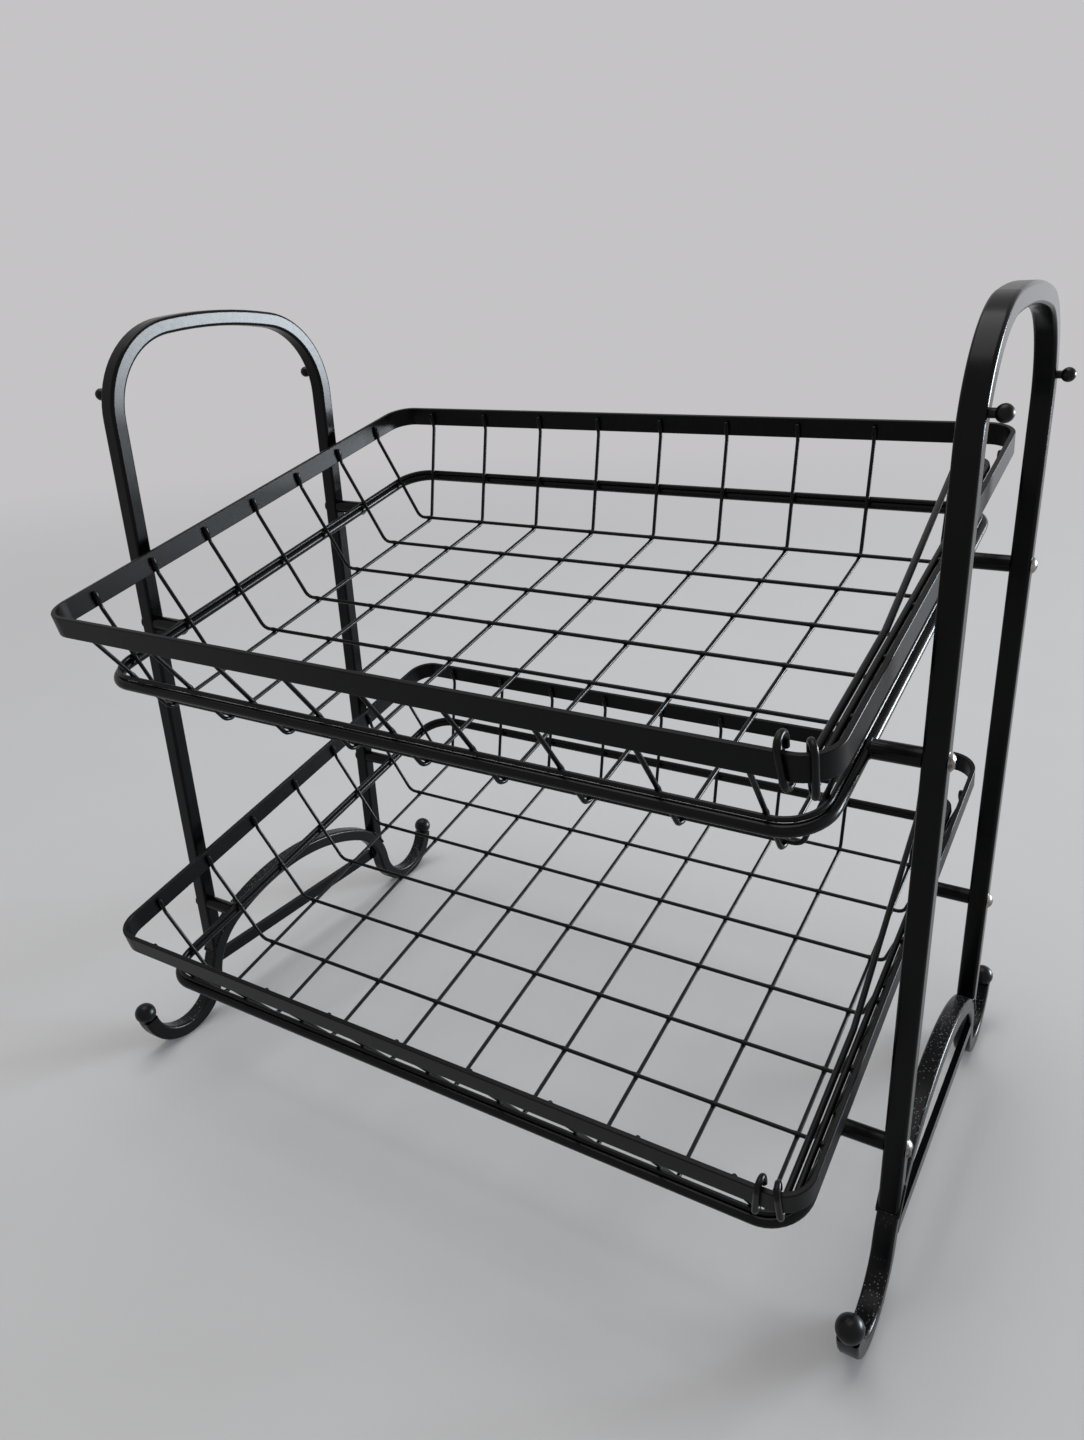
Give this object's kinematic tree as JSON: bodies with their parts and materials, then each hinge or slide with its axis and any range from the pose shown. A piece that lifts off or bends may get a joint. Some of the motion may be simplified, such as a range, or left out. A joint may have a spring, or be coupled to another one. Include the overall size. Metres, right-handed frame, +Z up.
{
  "type": "tiered wire basket",
  "caption": "Free-standing rack whose tipped wire mesh baskets rest in ring carriers bolted between hooped side frames that stand on arched J-shaped feet.",
  "frame": {"origin": "on the ground, midway between the two side frames and midway between the legs of each frame", "axes": "+X along the baskets towards the right side frame as seen from the front, +Y towards the rear, where the tipped tiers are higher, +Z up"},
  "size_m": [0.431, 0.2816, 0.4],
  "materials": {
    "frame_coat": "satin black powder coat on bent steel bar",
    "rim_coat": "satin black powder coat on flat steel strip",
    "wire_coat": "smooth black powder coat on round steel wire",
    "screw_steel": "blackened steel screw with a polished dome head"
  },
  "bodies": {
    "stand": {"left_side_hoop": "frame_coat", "left_foot_bar": "frame_coat", "left_stretcher": "frame_coat", "left_foot_balls": "frame_coat", "left_ball_studs": "frame_coat", "right_side_hoop": "frame_coat", "right_foot_bar": "frame_coat", "right_stretcher": "frame_coat", "right_foot_balls": "frame_coat", "right_ball_studs": "frame_coat", "lower_carrier_ring": "frame_coat", "lower_spacers": "frame_coat", "lower_screws": "screw_steel", "upper_carrier_ring": "frame_coat", "upper_spacers": "frame_coat", "upper_screws": "screw_steel"},
    "lower_basket": {"lower_rim_band": "rim_coat", "lower_seat_hoop": "wire_coat", "lower_long_wire_1": "wire_coat", "lower_long_wire_2": "wire_coat", "lower_long_wire_3": "wire_coat", "lower_long_wire_4": "wire_coat", "lower_long_wire_5": "wire_coat", "lower_long_wire_6": "wire_coat", "lower_long_wire_7": "wire_coat", "lower_cross_wire_1": "wire_coat", "lower_cross_wire_2": "wire_coat", "lower_cross_wire_3": "wire_coat", "lower_cross_wire_4": "wire_coat", "lower_cross_wire_5": "wire_coat", "lower_cross_wire_6": "wire_coat", "lower_cross_wire_7": "wire_coat", "lower_cross_wire_8": "wire_coat", "lower_cross_wire_9": "wire_coat", "lower_rim_clips": "wire_coat", "lower_end_loop": "wire_coat"},
    "upper_basket": {"upper_rim_band": "rim_coat", "upper_seat_hoop": "wire_coat", "upper_long_wire_1": "wire_coat", "upper_long_wire_2": "wire_coat", "upper_long_wire_3": "wire_coat", "upper_long_wire_4": "wire_coat", "upper_long_wire_5": "wire_coat", "upper_long_wire_6": "wire_coat", "upper_long_wire_7": "wire_coat", "upper_cross_wire_1": "wire_coat", "upper_cross_wire_2": "wire_coat", "upper_cross_wire_3": "wire_coat", "upper_cross_wire_4": "wire_coat", "upper_cross_wire_5": "wire_coat", "upper_cross_wire_6": "wire_coat", "upper_cross_wire_7": "wire_coat", "upper_cross_wire_8": "wire_coat", "upper_cross_wire_9": "wire_coat", "upper_rim_clips": "wire_coat", "upper_end_loop": "wire_coat"}
  },
  "joints": [
    {"name": "lower_basket_lift", "type": "slide", "parent": "stand", "child": "lower_basket", "axis": [0, -0.2334, 0.9724], "range_m": [0, 0.09]},
    {"name": "upper_basket_lift", "type": "slide", "parent": "stand", "child": "upper_basket", "axis": [0, -0.2334, 0.9724], "range_m": [0, 0.15]}
  ]
}
